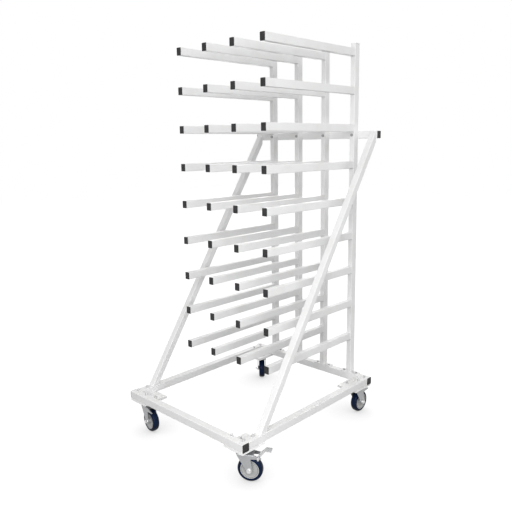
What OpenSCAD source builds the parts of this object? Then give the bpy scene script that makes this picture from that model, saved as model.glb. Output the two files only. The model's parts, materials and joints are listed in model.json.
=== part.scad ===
// Mobile rack for rolls of vinyl film: a square tube base on four swivel
// casters, four uprights with nine arms each, a crossbar behind the uprights
// and two diagonal braces.
// X runs along the front, Y to the rear, Z up. The origin is on the floor
// under the middle of the overall outline.

/* [Base] */
// Length of the front and rear base tubes
base_w = 890; // [800:10:1100]
// Depth of the base over its outer faces
base_d = 1063; // [960:1:1200]
// Outside size of the square base tube
base_tube = 40; // [36:1:44]
// Thickness of the plates welded under the corners
corner_plate_t = 12; // [10:1:14]
// Length of a corner plate along the front
corner_plate_x = 130; // [125:1:160]
// How far a corner plate reaches along the side past the brace's foot bolt
corner_plate_past = 10; // [9:1:40]

/* [Columns] */
// Distance from the base's left end to the first column
column_first = 157; // [150:1:164]
// Distance from the last column to the base's right end
column_last = 133; // [126:1:140]
// Outside width of the uprights and arms, along X
column_w = 30; // [26:1:32]
// Outside depth of the uprights, along Y
upright_depth = 40; // [36:1:44]
// How far the uprights rise above the centre of the top arms
upright_past = 44.6; // [24:0.1:60]
// Thickness of the foot plates
foot_plate_t = 6; // [4:1:8]
// Length of the foot plates along the rear tube
foot_plate_x = 120; // [112:1:130]

/* [Arms] */
// Number of arms on an upright
arm_rows = 9; // [5:1:9]
// Distance between arm rows
arm_pitch = 200; // [190:1:201]
// Height of the lowest arm's centre above the floor
arm_first_z = 457; // [440:1:460]
// Length of an arm from the upright's face to the tip
arm_len = 712.5; // [500:0.5:760]
// Outside height of the arms
arm_h = 40; // [36:1:44]

/* [Tubes] */
// Wall thickness of every tube
wall = 2; // [1.5:0.1:3]
// Outside corner radius of every tube
tube_r = 3; // [2.5:0.1:3.5]

/* [Crossbar and braces] */
// How far the crossbar runs past the base at each end
crossbar_past = 5; // [0:1:15]
// Depth of the crossbar, along Y
crossbar_depth = 30; // [26:1:34]
// Height of the crossbar section
crossbar_h = 40; // [36:1:44]
// Distance from the centre of the third arm row from the top down to the crossbar's
crossbar_drop = 37; // [34:1:95]
// Outside size of the square brace tube
brace_tube = 36; // [32:1:36]
// Distance from the front face to where a brace meets its side tube
brace_front_y = 122; // [112:1:140]

/* [Casters] */
// Diameter of the wheels
wheel_dia = 125; // [115:1:130]
// Gap between a wheel and its fork's crown
crown_clear = 17; // [14:0.5:20]
// Height of a caster from the fork's crown up to the top of its plate
caster_head = 24.5; // [23:0.5:28]
// Width of the tread
tread_w = 38; // [34:1:40]
// Thickness of the tyre, from the core to the tread
tyre_t = 16.5; // [14:0.5:18]
// Distance from the swivel axis to the axle
trail = 38; // [34:1:41]
// Distance from the base's outer side face to the swivel axis
caster_inset_x = 64; // [64:0.5:66]
// Distance from the base's outer front or rear face to the swivel axis
caster_inset_y = 62; // [62:0.5:64]
// Thickness of the forks' sheet steel
fork_t = 3.5; // [3:0.1:4]
// Outside width of a fork
fork_w = 56; // [54:1:60]
// Turn of the front right caster's trail from +X
az_fr = 29.7; // [0:0.1:60]
// Turn of the front left caster's trail from +X
az_fl = -7; // [-60:0.5:60]
// Turn of the rear right caster's trail from +X
az_rr = 90; // [60:0.1:120]
// Turn of the rear left caster's trail from +X
az_rl = 133.8; // [100:0.1:160]

/* [Hidden] */

// faces of round parts, and of small round parts
fine = 96;
coarse = 32;
// how far a cutting shape runs past what it cuts
over = 1;

white = [0.93, 0.93, 0.92];
black = [0.12, 0.12, 0.13];
zinc = [0.75, 0.76, 0.77];
navy = [0.07, 0.1, 0.25];
pale = [0.82, 0.83, 0.84];

// heights of the arms, the casters, the base and the uprights
function arm_z(k) = arm_first_z + k * arm_pitch;
crown_z = wheel_dia + crown_clear + fork_t;
caster_h = crown_z + caster_head;
base_under = caster_h + corner_plate_t;
base_top = base_under + base_tube;
upright_foot = base_top + foot_plate_t;
upright_top = arm_z(arm_rows - 1) + upright_past;
upright_len = upright_top - upright_foot;

// columns and arms
column_count = 4;
column_pitch = (base_w - column_first - column_last) / (column_count - 1);
upright_y = base_d - upright_depth;
top_cap_t = 3;
top_cap_over = 2.5;
arm_tip_y = upright_y - arm_len;
function column_x(i) = column_first + i * column_pitch;

// end plugs: the flange that shows and the body pushed into the tube
plug_head = 3.5;
plug_rim = 0.4;
plug_body = 18;
plug_dish = 0.8;
plug_dish_rim = 4;

// crossbar and braces
crossbar_len = base_w + 2 * crossbar_past;
crossbar_y = base_d + crossbar_depth / 2;
crossbar_row = arm_rows - 3;
crossbar_z = arm_z(crossbar_row) - crossbar_drop;
crossbar_low = crossbar_z - crossbar_h / 2;
crossbar_top = crossbar_z + crossbar_h / 2;
brace_rise = crossbar_top - base_top;
brace_run = base_d - brace_front_y;
brace_angle = atan2(brace_rise, brace_run);
brace_slope_len = sqrt(brace_rise * brace_rise + brace_run * brace_run);
brace_foot_len = brace_tube / sin(brace_angle);
brace_head_len = brace_tube / cos(brace_angle);
end_plate_t = 4;
end_plate_gap = 0.5;
brace_foot_bolt_in = 18;
brace_foot_bolt_y = brace_front_y + brace_foot_bolt_in;
corner_plate_y = brace_foot_bolt_y + corner_plate_past;

// fasteners: thread diameter, hole, width across flats, head and nut heights
bolt_d = 8;
bolt_hole = 9;
bolt_flats = 13;
bolt_head_h = 5.3;
nut_h = 6.5;
hex_bevel = 30;
washer_d = 16;
washer_t = 1.6;
foot_bolt_pitch = 86;
foot_plate_r = 4;
crossbar_bolt_tail = 5;
caster_bolt_tail = 5;
foot_bolt_len = 12;
brace_bolt_tail = 4;
insert_d = 11;
insert_len = 14;
insert_collar_d = 15;
insert_collar_t = 3;

// caster plate and swivel
plate_x = 105;
plate_y = 85;
plate_t = 4;
plate_r = 8;
hole_x = 80;
hole_y = 60;
plate_under = caster_h - plate_t;
race_r = 25;
ball_d = 6;
ball_count = 20;
ball_gap = 0.05;
ball_clearance = 0.3;
race_out = 34;
race_split = (plate_under + crown_z) / 2;
race_half_gap = 2;
kingpin_d = 14;
kingpin_head_d = 24;
kingpin_head_h = 4;
kingpin_clearance = 0.1;
washer_gap = 0.4;

// fork
axle_z = wheel_dia / 2;
fork_round = 9;
boss_r = 16;
fork_lead_x = -27.5;
fork_flat_x = 45;
fork_tail_x = 97;
fork_tail_top = crown_z - 12.5;
fork_tail_low = crown_z - 18.5;
fork_notch_z = crown_z - 23.5;
fork_inner_w = fork_w - 2 * fork_t;

// wheel: core radii and widths, bore and axle
core_r = wheel_dia / 2 - tyre_t;
core_w = tread_w - 4;
core_dish = 5;
core_rim = 5;
hub_fillet = 2;
rim_chamfer = 1;
groove_w = 1.6;
groove_depth = 1.5;
hub_r = 13;
hub_w = fork_inner_w - 1;
axle_d = 12;
axle_clearance = 0.1;
axle_flats = 19;
axle_head_h = 7.5;
axle_nut_h = 7;
axle_collar_h = 3.5;
axle_collar_d = 17;
axle_collar_bevel = 1;
axle_washer_d = 24;
axle_washer_t = 1.8;
axle_tail = 2;
axle_stack = axle_washer_t + axle_nut_h + axle_collar_h;
axle_shank = fork_w + axle_stack + axle_tail;
tyre_corner = 7;

// brake pedal, drawn along the trail and from the floor
pedal_w = 40;
pedal_t = 2.5;
pedal_pivot_x = 82;
pedal_pivot_z = crown_z - 14.5;
pedal_foot_x = 97;
pedal_foot_z = crown_z + 4.5;
pedal_tip_x = 143;
pedal_top = caster_h - 2.5;
pedal_bend_x = 112;
pedal_lip = 6;
pedal_arm_w = 3;
shoe_r = 5;
shoe_gap = 0.4;
shoe_turn = 22;
pivot_d = 6;
pivot_clearance = 0.1;
pivot_head_d = 10;
pivot_head_t = 2;

// the four casters: [centre x, centre y, turn]
function caster_at(right, rear) = [right ? base_w - caster_inset_x : caster_inset_x,
                                   rear ? base_d - caster_inset_y : caster_inset_y];
FR = [caster_at(true, false), az_fr];
FL = [caster_at(false, false), az_fl];
RR = [caster_at(true, true), az_rr];
RL = [caster_at(false, true), az_rl];
CASTERS = [FR, FL, RR, RL];

// overall outline, which places the origin. A pedal's tip and a rolled wheel
// are the only pieces that turn with a caster and can pass the frame.
function pedal_reach(a) = pedal_tip_x * cos(a) + pedal_w / 2 * abs(sin(a));
function wheel_reach(a) = trail * cos(a) + wheel_dia / 2 * abs(cos(a)) + tread_w / 2 * abs(sin(a));
function turning_reach(c, brake, toward) = brake
    ? max(pedal_reach(c[1] - toward), wheel_reach(c[1] - toward))
    : wheel_reach(c[1] - toward);
bolt_rear = base_d + crossbar_depth + washer_t + nut_h + crossbar_bolt_tail;
out_right = max(base_w + crossbar_past + plug_head, FR[0][0] + turning_reach(FR, true, 0),
                RR[0][0] + turning_reach(RR, false, 0));
out_left = min(-crossbar_past - plug_head, FL[0][0] - turning_reach(FL, false, 180),
               RL[0][0] - turning_reach(RL, true, 180));
out_front = min(0, FR[0][1] - turning_reach(FR, true, -90), FL[0][1] - turning_reach(FL, false, -90));
out_rear = max(bolt_rear, RR[0][1] + turning_reach(RR, false, 90),
               RL[0][1] + turning_reach(RL, true, 90));
origin_x = (out_left + out_right) / 2;
origin_y = (out_front + out_rear) / 2;

// from the base's front left corner to the shared frame
module in_frame() {
    translate([-origin_x, -origin_y, 0]) children();
}

// solid section with rounded corners, centred
module rounded(a, b, r) {
    square([a - 2 * r, b], center = true);
    square([a, b - 2 * r], center = true);
    for (sx = [-1, 1])
        for (sy = [-1, 1])
            translate([sx * (a / 2 - r), sy * (b / 2 - r)]) circle(r = r, $fn = coarse);
}

// tube section: outside sizes a by b
module tube_section(a, b) {
    difference() {
        rounded(a, b, tube_r);
        rounded(a - 2 * wall, b - 2 * wall, tube_r - wall / 2);
    }
}

module tube_z(a, b, len) {
    linear_extrude(height = len) tube_section(a, b);
}

// tube along +X from the origin, a deep (Y) and b high (Z)
module tube_x(a, b, len) {
    rotate([90, 0, 90]) tube_z(a, b, len);
}

// tube along +Y from the origin, a wide (X) and b high (Z)
module tube_y(a, b, len) {
    rotate([90, 0, 0]) translate([0, 0, -len]) tube_z(a, b, len);
}

// plug for the end of a tube: head at z = 0, body pushed down into the tube.
// The head lies inside the tube's edge and its face is dished.
module plug(a, b) {
    clear_a = a - 2 * wall;
    clear_b = b - 2 * wall;
    difference() {
        union() {
            linear_extrude(height = plug_head)
                rounded(a - 2 * plug_rim, b - 2 * plug_rim, tube_r - plug_rim / 2);
            translate([0, 0, -plug_body]) linear_extrude(height = plug_body + plug_head / 2)
                rounded(clear_a, clear_b, tube_r - wall / 2);
        }
        translate([0, 0, plug_head - plug_dish]) linear_extrude(height = plug_dish + over)
            rounded(a - 2 * plug_dish_rim, b - 2 * plug_dish_rim, tube_r / 2);
    }
}

// hexagonal prism by its width across the flats, with its far corners bevelled
module hex(flats, h) {
    intersection() {
        cylinder(d = flats / cos(30), h = h, $fn = 6);
        cylinder(d1 = flats + 2 * h / tan(hex_bevel), d2 = flats, h = h, $fn = fine);
    }
}

// bolt pointing down from its head, which starts at z = 0
module bolt(d, flats, head, shank) {
    hex(flats, head);
    translate([0, 0, -shank]) cylinder(d = d, h = shank, $fn = coarse);
}

// nut with its washer below it, bored for the bolt
module nut(d, flats, h) {
    difference() {
        union() {
            cylinder(d = washer_d, h = washer_t, $fn = coarse);
            translate([0, 0, washer_t]) hex(flats, h);
        }
        translate([0, 0, -over]) cylinder(d = d, h = h + washer_t + 2 * over, $fn = coarse);
    }
}

// hole along +Z from z = 0
module hole(d, len) {
    cylinder(d = d, h = len, $fn = coarse);
}

// Base

// the caster bolts' places around the swivel axes
module at_caster_bolts() {
    for (c = CASTERS)
        for (sx = [-1, 1])
            for (sy = [-1, 1])
                translate([c[0][0] + sx * hole_x / 2, c[0][1] + sy * hole_y / 2, 0]) children();
}

// every bolt's passage through the base's tubes and plates
module base_holes() {
    at_caster_bolts() translate([0, 0, caster_h - over]) hole(bolt_hole, upright_foot - caster_h + 2 * over);
}

// distance from a point to the nearest caster bolt
function to_caster_bolt(x, y) = min([for (c = CASTERS, sx = [-1, 1], sy = [-1, 1])
    norm([c[0][0] + sx * hole_x / 2 - x, c[0][1] + sy * hole_y / 2 - y])]);

// a foot has a bolt on each side, but none where a caster bolt that passes
// through its foot plate already stands in that place
module at_foot_bolts() {
    y = base_d - base_tube / 2;
    for (i = [0 : column_count - 1])
        for (s = [-1, 1]) {
            x = column_x(i) + s * foot_bolt_pitch / 2;
            if (to_caster_bolt(x, y) > washer_d + over)
                translate([x, y, 0]) children();
        }
}

module base_front_tube() {
    color(white) in_frame() difference() {
        translate([0, base_tube / 2, base_under + base_tube / 2]) tube_x(base_tube, base_tube, base_w);
        base_holes();
    }
}

module base_rear_tube() {
    color(white) in_frame() difference() {
        translate([0, base_d - base_tube / 2, base_under + base_tube / 2])
            tube_x(base_tube, base_tube, base_w);
        base_holes();
        at_foot_bolts() translate([0, 0, base_top - wall - over]) hole(insert_d, wall + 2 * over);
    }
}

module side_tube(x) {
    color(white) in_frame() difference() {
        translate([x, base_tube, base_under + base_tube / 2])
            tube_y(base_tube, base_tube, base_d - 2 * base_tube);
        base_holes();
        brace_foot_bolt_holes();
    }
}

module base_left_tube() {
    side_tube(base_tube / 2);
}

module base_right_tube() {
    side_tube(base_w - base_tube / 2);
}

module base_tube_plugs() {
    color(black) in_frame() for (y = [base_tube / 2, base_d - base_tube / 2]) {
        translate([base_w, y, base_under + base_tube / 2]) rotate([90, 0, 90]) plug(base_tube, base_tube);
        translate([0, y, base_under + base_tube / 2]) rotate([90, 0, -90]) plug(base_tube, base_tube);
    }
}

module corner_plates() {
    color(white) in_frame() difference() {
        for (x = [0, base_w - corner_plate_x])
            for (y = [0, base_d - corner_plate_y])
                translate([x, y, caster_h]) cube([corner_plate_x, corner_plate_y, corner_plate_t]);
        base_holes();
        brace_foot_bolt_holes();
    }
}

// Uprights and arms

module upright(i) {
    color(white) in_frame() difference() {
        translate([column_x(i), base_d - upright_depth / 2, upright_foot])
            tube_z(column_w, upright_depth, upright_len);
        crossbar_bolt_holes();
    }
}

module upright_1() { upright(0); }
module upright_2() { upright(1); }
module upright_3() { upright(2); }
module upright_4() { upright(3); }

module upright_foot_plates() {
    color(white) in_frame() difference() {
        for (i = [0 : column_count - 1])
            translate([column_x(i), base_d - base_tube / 2, base_top])
                linear_extrude(height = foot_plate_t) rounded(foot_plate_x, base_tube, foot_plate_r);
        at_foot_bolts() translate([0, 0, base_top - over]) hole(bolt_hole, foot_plate_t + 2 * over);
        base_holes();
    }
}

module upright_top_caps() {
    color(white) in_frame() for (i = [0 : column_count - 1])
        translate([column_x(i), base_d - upright_depth / 2, upright_top])
            linear_extrude(height = top_cap_t)
                rounded(column_w + 2 * top_cap_over, upright_depth + 2 * top_cap_over,
                        tube_r + top_cap_over);
}

module arms(i) {
    color(white) in_frame() for (k = [0 : arm_rows - 1])
        translate([column_x(i), arm_tip_y, arm_z(k)]) tube_y(column_w, arm_h, arm_len);
}

module arms_1() { arms(0); }
module arms_2() { arms(1); }
module arms_3() { arms(2); }
module arms_4() { arms(3); }

module arm_plugs() {
    color(black) in_frame() for (i = [0 : column_count - 1])
        for (k = [0 : arm_rows - 1])
            translate([column_x(i), arm_tip_y, arm_z(k)]) rotate([90, 0, 0]) plug(column_w, arm_h);
}

// Crossbar and braces

module at_crossbar_bolts() {
    for (i = [0 : column_count - 1])
        translate([column_x(i), 0, crossbar_z]) children();
}

module crossbar_bolt_holes() {
    at_crossbar_bolts() translate([0, upright_y - over, 0]) rotate([-90, 0, 0])
        hole(bolt_hole, upright_depth + crossbar_depth + 2 * over);
}

module crossbar() {
    color(white) in_frame() difference() {
        translate([-crossbar_past, crossbar_y, crossbar_z]) tube_x(crossbar_depth, crossbar_h, crossbar_len);
        crossbar_bolt_holes();
        brace_head_bolt_holes();
    }
}

module crossbar_plugs() {
    color(black) in_frame() for (s = [-1, 1])
        translate([base_w / 2 + s * crossbar_len / 2, crossbar_y, crossbar_z])
            rotate([90, 0, s * 90]) plug(crossbar_depth, crossbar_h);
}

// brace along its slope, cut flat on the side tube and plumb at the crossbar
module brace(x) {
    run_past = 2 * brace_tube;
    color(white) in_frame() intersection() {
        translate([x, brace_front_y, base_top]) rotate([brace_angle - 90, 0, 0])
            translate([0, brace_tube / 2, -run_past])
                tube_z(brace_tube, brace_tube, brace_slope_len + 2 * run_past);
        translate([x - brace_tube, 0, base_top]) cube([2 * brace_tube, base_d, brace_rise + brace_head_len]);
    }
}

module left_brace() {
    brace(base_tube / 2);
}

module right_brace() {
    brace(base_w - base_tube / 2);
}

// the end plates lie just inside the brace's ends, where its bolts reach them
foot_plate_low = brace_front_y + wall / sin(brace_angle) + end_plate_t / tan(brace_angle) + end_plate_gap;
foot_plate_high = brace_front_y + brace_foot_len - wall / sin(brace_angle) - end_plate_gap;
head_plate_low = crossbar_top - brace_head_len + wall / cos(brace_angle) + end_plate_gap;
head_plate_high = crossbar_top - wall / cos(brace_angle) - end_plate_t * tan(brace_angle) - end_plate_gap;
end_plate_w = brace_tube - 2 * wall - 2 * end_plate_gap;
brace_head_bolt_z = crossbar_low + washer_d / 2 + wall;

module at_braces() {
    for (x = [base_tube / 2, base_w - base_tube / 2])
        translate([x, 0, 0]) children();
}

// passages of the bolts that come up from under the corner plates
module brace_foot_bolt_holes() {
    at_braces() translate([0, brace_foot_bolt_y, caster_h - over])
        hole(bolt_hole, corner_plate_t + base_tube + 2 * over);
}

// passages of the bolts that come from behind the crossbar
module brace_head_bolt_holes() {
    at_braces() translate([0, base_d - over, brace_head_bolt_z]) rotate([-90, 0, 0])
        hole(bolt_hole, crossbar_depth + 2 * over);
}

module brace_end_plates() {
    color(white) in_frame() at_braces() {
        difference() {
            translate([-end_plate_w / 2, foot_plate_low, base_top])
                cube([end_plate_w, foot_plate_high - foot_plate_low, end_plate_t]);
            translate([0, brace_foot_bolt_y, base_top - over]) hole(bolt_d, end_plate_t + 2 * over);
        }
        difference() {
            translate([-end_plate_w / 2, base_d - end_plate_t, head_plate_low])
                cube([end_plate_w, end_plate_t, head_plate_high - head_plate_low]);
            translate([0, base_d - end_plate_t - over, brace_head_bolt_z]) rotate([-90, 0, 0])
                hole(bolt_d, end_plate_t + 2 * over);
        }
    }
}

// Fasteners

module upright_foot_bolts() {
    color(zinc) in_frame() at_foot_bolts() translate([0, 0, upright_foot])
        bolt(bolt_d, bolt_flats, bolt_head_h, foot_bolt_len);
}

// threaded inserts riveted into the rear tube's top wall
module upright_foot_inserts() {
    color(zinc) in_frame() at_foot_bolts() difference() {
        union() {
            translate([0, 0, base_top - insert_len]) cylinder(d = insert_d, h = insert_len, $fn = coarse);
            translate([0, 0, base_top - wall - insert_collar_t])
                cylinder(d = insert_collar_d, h = insert_collar_t, $fn = coarse);
        }
        translate([0, 0, base_top - insert_len - over]) hole(bolt_d, insert_len + 2 * over);
    }
}

module crossbar_bolts() {
    color(zinc) in_frame() at_crossbar_bolts() translate([0, upright_y, 0]) rotate([90, 0, 0]) {
        cylinder(d = washer_d, h = washer_t, $fn = coarse);
        translate([0, 0, washer_t]) bolt(bolt_d, bolt_flats, bolt_head_h,
             upright_depth + crossbar_depth + 2 * washer_t + nut_h + crossbar_bolt_tail);
    }
}

module crossbar_nuts() {
    color(zinc) in_frame() at_crossbar_bolts() translate([0, base_d + crossbar_depth, 0]) rotate([-90, 0, 0])
        nut(bolt_d, bolt_flats, nut_h);
}

module brace_bolts() {
    color(zinc) in_frame() at_braces() {
        translate([0, brace_foot_bolt_y, caster_h]) mirror([0, 0, 1])
            bolt(bolt_d, bolt_flats, bolt_head_h, corner_plate_t + base_tube + end_plate_t + brace_bolt_tail);
        translate([0, base_d + crossbar_depth, brace_head_bolt_z]) rotate([-90, 0, 0])
            bolt(bolt_d, bolt_flats, bolt_head_h, crossbar_depth + end_plate_t + brace_bolt_tail);
    }
}

// true where a point lies on an upright's foot plate
function on_foot_plate(x, y) = y > base_d - base_tube
    && min([for (i = [0 : column_count - 1]) abs(x - column_x(i))]) < foot_plate_x / 2;

// height of the face that a caster bolt's nut sits on: a foot plate, a tube or,
// at the inner corner, the corner plate alone
function nut_seat(x, y) = on_foot_plate(x, y) ? upright_foot
    : min(x, base_w - x) > base_tube && min(y, base_d - y) > base_tube ? base_under : base_top;

module at_caster_bolt_stacks() {
    for (c = CASTERS)
        for (sx = [-1, 1])
            for (sy = [-1, 1]) {
                x = c[0][0] + sx * hole_x / 2;
                y = c[0][1] + sy * hole_y / 2;
                $seat = nut_seat(x, y);
                translate([x, y, 0]) children();
            }
}

module caster_bolts() {
    color(zinc) in_frame() at_caster_bolt_stacks() translate([0, 0, plate_under]) mirror([0, 0, 1])
        bolt(bolt_d, bolt_flats, bolt_head_h, $seat - plate_under + washer_t + nut_h + caster_bolt_tail);
}

module caster_nuts() {
    color(zinc) in_frame() at_caster_bolt_stacks() translate([0, 0, $seat])
        nut(bolt_d, bolt_flats, nut_h);
}

// Casters

// a caster's own place: swivel axis at the origin, trail along +X
module at_caster(c) {
    in_frame() translate([c[0][0], c[0][1], 0]) rotate([0, 0, c[1]]) children();
}

// ball groove of the upper and lower race: a ring of round section
module ball_groove(z, r) {
    translate([0, 0, z]) rotate_extrude($fn = fine) translate([race_r, 0]) circle(r = r, $fn = coarse);
}

// mounting plate with the upper race on its underside. It doesn't turn.
module caster_plate(c) {
    color(zinc) in_frame() translate([c[0][0], c[0][1], 0]) difference() {
        union() {
            translate([0, 0, plate_under])
                linear_extrude(height = plate_t) rounded(plate_x, plate_y, plate_r);
            translate([0, 0, race_split + race_half_gap])
                cylinder(r = race_out, h = plate_under - race_split - race_half_gap + over / 2, $fn = fine);
        }
        ball_groove(race_split - ball_gap, ball_d / 2 + ball_gap);
        translate([0, 0, race_split]) cylinder(d = kingpin_d, h = caster_h, $fn = fine);
        for (sx = [-1, 1])
            for (sy = [-1, 1])
                translate([sx * hole_x / 2, sy * hole_y / 2, plate_under - over])
                    hole(bolt_hole, plate_t + 2 * over);
    }
}

module caster_plate_fr() { caster_plate(FR); }
module caster_plate_fl() { caster_plate(FL); }
module caster_plate_rr() { caster_plate(RR); }
module caster_plate_rl() { caster_plate(RL); }

module caster_balls() {
    color(zinc) for (c = CASTERS)
        at_caster(c) for (a = [0 : ball_count - 1])
            rotate([0, 0, a * 360 / ball_count]) translate([race_r, 0, race_split])
                sphere(d = ball_d, $fn = coarse);
}

// rivet from the plate down through the fork's crown
module kingpins() {
    low = crown_z - fork_t - washer_gap;
    color(zinc) for (c = CASTERS)
        at_caster(c) {
            translate([0, 0, low]) cylinder(d = kingpin_d, h = caster_h - low, $fn = fine);
            translate([0, 0, low - kingpin_head_h])
                cylinder(d = kingpin_head_d, h = kingpin_head_h, $fn = fine);
        }
}

// fork's outline from the side: x from the swivel axis, y from the floor
module fork_outline() {
    polygon([[fork_lead_x, crown_z + over], [fork_flat_x, crown_z + over], [fork_flat_x, crown_z],
             [fork_tail_x, fork_tail_top], [fork_tail_x, fork_tail_low],
             [fork_flat_x + over, fork_notch_z], [trail + boss_r, axle_z], [trail - boss_r, axle_z]]);
    translate([trail, axle_z]) circle(r = boss_r, $fn = fine);
}

// fork's section: an upturned channel with rounded shoulders
module fork_section() {
    difference() {
        translate([0, crown_z / 2]) rounded(fork_w, crown_z, fork_round);
        translate([0, crown_z / 2 - fork_t]) rounded(fork_inner_w, crown_z, fork_round - fork_t);
    }
}

module fork_shell() {
    intersection() {
        translate([-wheel_dia, 0, 0]) rotate([90, 0, 90])
            linear_extrude(height = 3 * wheel_dia) fork_section();
        translate([0, fork_w, 0]) rotate([90, 0, 0]) linear_extrude(height = 2 * fork_w) fork_outline();
    }
}

module fork(c, brake) {
    color(pale) at_caster(c) difference() {
        union() {
            fork_shell();
            translate([0, 0, crown_z - over / 2])
                cylinder(r = race_out - fork_t, h = race_split - race_half_gap - crown_z + over / 2,
                         $fn = fine);
        }
        ball_groove(race_split, ball_d / 2 + ball_clearance);
        translate([0, 0, crown_z - 2 * fork_t])
            cylinder(d = kingpin_d + 2 * kingpin_clearance, h = 4 * ball_d, $fn = fine);
        translate([trail, fork_w, axle_z]) rotate([90, 0, 0])
            cylinder(d = axle_d, h = 2 * fork_w, $fn = fine);
        if (brake)
            translate([pedal_pivot_x, fork_w, pedal_pivot_z]) rotate([90, 0, 0])
                cylinder(d = pivot_d, h = 2 * fork_w, $fn = fine);
    }
}

module fork_fr() { fork(FR, true); }
module fork_fl() { fork(FL, false); }
module fork_rr() { fork(RR, false); }
module fork_rl() { fork(RL, true); }

// axle bolt: head on one leg's outer face, thread end past the nut
module axle(c) {
    color(zinc) at_caster(c) translate([trail, -fork_w / 2, axle_z]) rotate([90, 0, 0])
        union() {
            cylinder(d = axle_washer_d, h = axle_washer_t, $fn = fine);
            translate([0, 0, axle_washer_t]) hex(axle_flats, axle_head_h);
            translate([0, 0, -axle_shank]) cylinder(d = axle_d, h = axle_shank + over, $fn = coarse);
        }
}

module axle_fr() { axle(FR); }
module axle_fl() { axle(FL); }
module axle_rr() { axle(RR); }
module axle_rl() { axle(RL); }

// lock nut: a flange, the hexagon and a round collar with a bevelled end
module axle_nut(c) {
    color(zinc) at_caster(c) translate([trail, fork_w / 2, axle_z]) rotate([-90, 0, 0]) difference() {
        union() {
            cylinder(d = axle_washer_d, h = axle_washer_t, $fn = fine);
            translate([0, 0, axle_washer_t]) hex(axle_flats, axle_nut_h);
            cylinder(d = axle_collar_d, h = axle_stack - axle_collar_bevel, $fn = fine);
            translate([0, 0, axle_stack - axle_collar_bevel])
                cylinder(d1 = axle_collar_d, d2 = axle_collar_d - 2 * axle_collar_bevel,
                         h = axle_collar_bevel, $fn = fine);
        }
        translate([0, 0, -over]) cylinder(d = axle_d, h = axle_stack + 2 * over, $fn = fine);
    }
}

module axle_nut_fr() { axle_nut(FR); }
module axle_nut_fl() { axle_nut(FL); }
module axle_nut_rr() { axle_nut(RR); }
module axle_nut_rl() { axle_nut(RL); }

// place of a wheel: turned so that its axis is Z
module at_wheel(c) {
    at_caster(c) translate([trail, 0, axle_z]) rotate([90, 0, 0]) children();
}

// points of the core's half section from the middle out: hub, dished web, rim
core_web = core_w / 2 - core_dish;
core_half = [[hub_r, hub_w / 2], [hub_r + hub_fillet, core_web],
             [core_r - core_rim - groove_w - hub_fillet, core_web + hub_fillet],
             [core_r - core_rim - groove_w, core_w / 2 - groove_depth],
             [core_r - core_rim, core_w / 2 - groove_depth], [core_r - core_rim, core_w / 2],
             [core_r - rim_chamfer, core_w / 2], [core_r, core_w / 2 - rim_chamfer]];
core_last = len(core_half) - 1;
core_bore = (axle_d + axle_clearance) / 2;

module core_section() {
    polygon(concat([[core_bore, -hub_w / 2], [core_bore, hub_w / 2]], core_half,
                   [for (k = [0 : core_last]) [core_half[core_last - k][0], -core_half[core_last - k][1]]]));
}

module wheel_core(c) {
    color(pale) at_wheel(c) rotate_extrude($fn = fine) core_section();
}

module wheel_core_fr() { wheel_core(FR); }
module wheel_core_fl() { wheel_core(FL); }
module wheel_core_rr() { wheel_core(RR); }
module wheel_core_rl() { wheel_core(RL); }

// tyre: a ring of rounded section around the core
module tyre(c) {
    color(navy) at_wheel(c) rotate_extrude($fn = fine) intersection() {
        translate([wheel_dia / 2 - tyre_t, -tread_w / 2]) square([tyre_t, tread_w]);
        translate([wheel_dia / 2 - tyre_t, 0]) rounded(2 * tyre_t, tread_w, tyre_corner);
    }
}

module tyre_fr() { tyre(FR); }
module tyre_fl() { tyre(FL); }
module tyre_rr() { tyre(RR); }
module tyre_rl() { tyre(RL); }

// pedal's outline from the side: sheet that climbs from the pivot to the tread
// plate and turns down at the tip
module pedal_outline() {
    polygon([[pedal_foot_x, pedal_foot_z], [pedal_bend_x, pedal_top], [pedal_tip_x, pedal_top],
             [pedal_tip_x, pedal_top - pedal_lip], [pedal_tip_x - pedal_t, pedal_top - pedal_lip],
             [pedal_tip_x - pedal_t, pedal_top - pedal_t], [pedal_bend_x + over, pedal_top - pedal_t],
             [pedal_foot_x + over, pedal_foot_z - pedal_t]]);
}

// the shoe swings about the pivot and just meets the tread when it points at
// the axle. With the brake off it hangs that turn away.
pivot_to_axle = norm([pedal_pivot_x - trail, pedal_pivot_z - axle_z]);
shoe_reach = pivot_to_axle - wheel_dia / 2 - shoe_gap - shoe_r;
shoe_angle = atan2(axle_z - pedal_pivot_z, trail - pedal_pivot_x) + shoe_turn;
shoe_at = [pedal_pivot_x + shoe_reach * cos(shoe_angle), pedal_pivot_z + shoe_reach * sin(shoe_angle)];

// the pedal's two ears, which turn on the pivot inside the fork's legs
module pedal_ear() {
    polygon([[pedal_pivot_x - pivot_d, pedal_pivot_z], [pedal_pivot_x, pedal_pivot_z + pivot_d],
             [pedal_bend_x, pedal_top - pedal_t / 2], [pedal_bend_x + pedal_lip, pedal_top - pedal_t / 2],
             [pedal_pivot_x + pivot_d, pedal_pivot_z], shoe_at + [shoe_r, 0], shoe_at - [shoe_r, 0]]);
    translate([pedal_pivot_x, pedal_pivot_z]) circle(r = pivot_d, $fn = coarse);
}

module brake_pedal(c) {
    color(zinc) at_caster(c) difference() {
        union() {
            translate([0, pedal_w / 2, 0]) rotate([90, 0, 0]) linear_extrude(height = pedal_w) {
                pedal_outline();
                translate(shoe_at) circle(r = shoe_r, $fn = coarse);
            }
            for (y = [-pedal_w / 2 + pedal_arm_w, pedal_w / 2])
                translate([0, y, 0]) rotate([90, 0, 0]) linear_extrude(height = pedal_arm_w) pedal_ear();
        }
        translate([pedal_pivot_x, fork_w, pedal_pivot_z]) rotate([90, 0, 0])
            cylinder(d = pivot_d + pivot_clearance, h = 2 * fork_w, $fn = fine);
    }
}

module brake_pedal_fr() { brake_pedal(FR); }
module brake_pedal_rl() { brake_pedal(RL); }

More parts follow.
